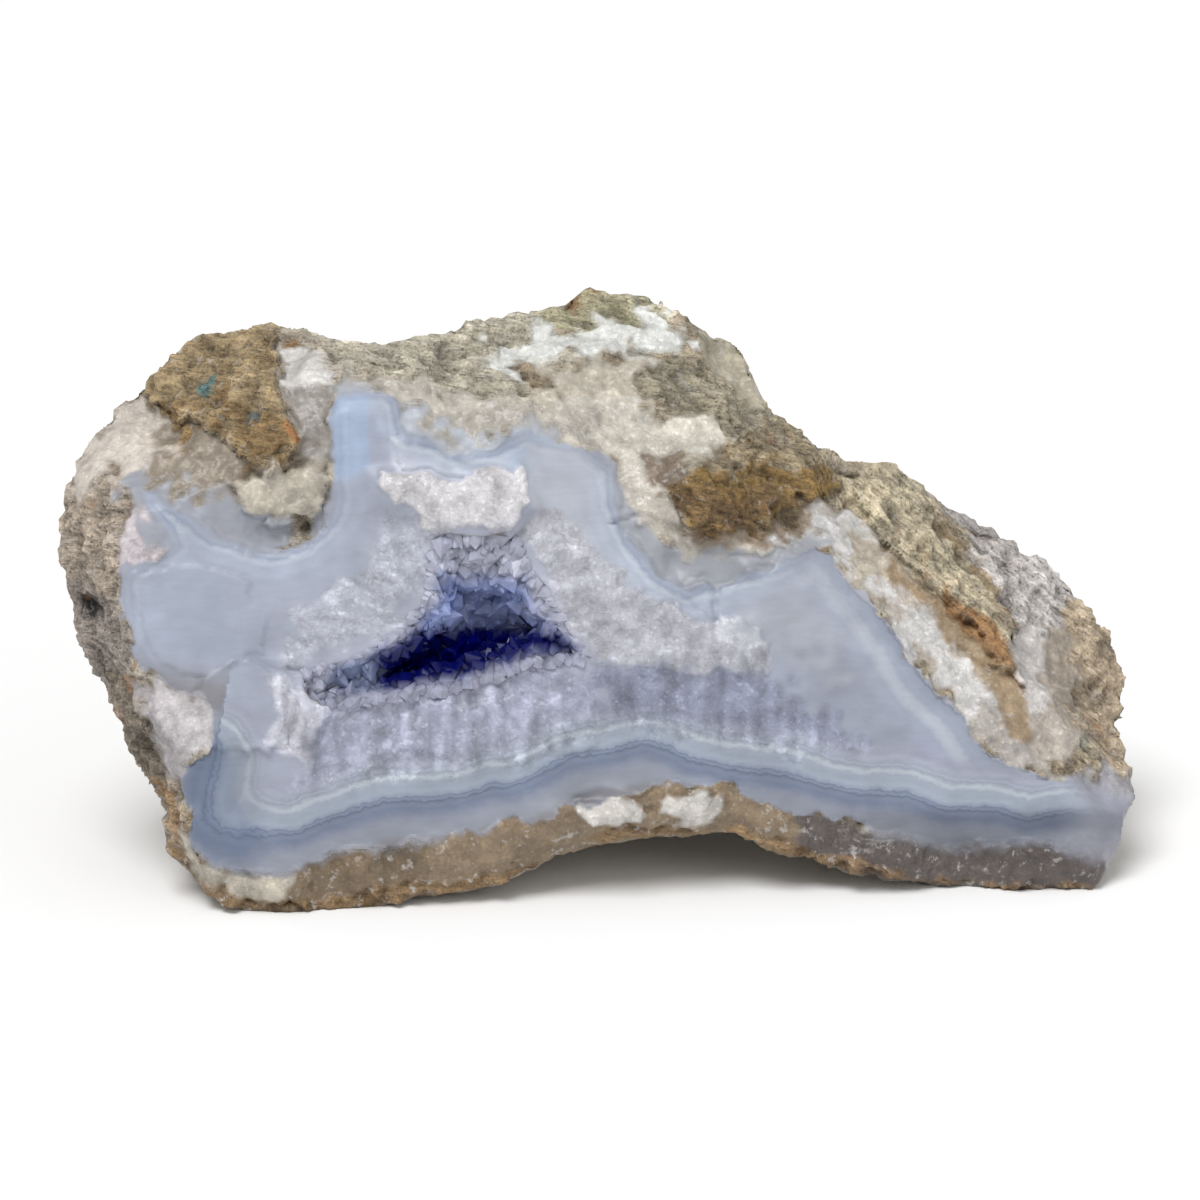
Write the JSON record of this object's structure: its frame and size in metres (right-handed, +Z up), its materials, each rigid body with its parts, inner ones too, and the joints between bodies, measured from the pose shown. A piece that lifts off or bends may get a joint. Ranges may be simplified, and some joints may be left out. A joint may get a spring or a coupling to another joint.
{
  "type": "blue lace agate geode",
  "caption": "Broken half of a banded blue agate nodule in brown rind, with a crystal-lined hollow in its face; rests on its two feet.",
  "frame": {"origin": "under the middle of the stone, on the surface it rests on", "axes": "+Z up, -Y the way the broken face looks, +X to the right of someone facing it, along its length"},
  "size_m": [0.164, 0.0702, 0.0837],
  "materials": {
    "banded_stone": "broken chalcedony, waxy to frosted, in rough brown rind",
    "druse_quartz": "glassy crystal faces, indigo in the depth and pale at the lip"
  },
  "bodies": {
    "root": {"geode": "banded_stone", "crystal_crust": "druse_quartz"}
  },
  "joints": []
}
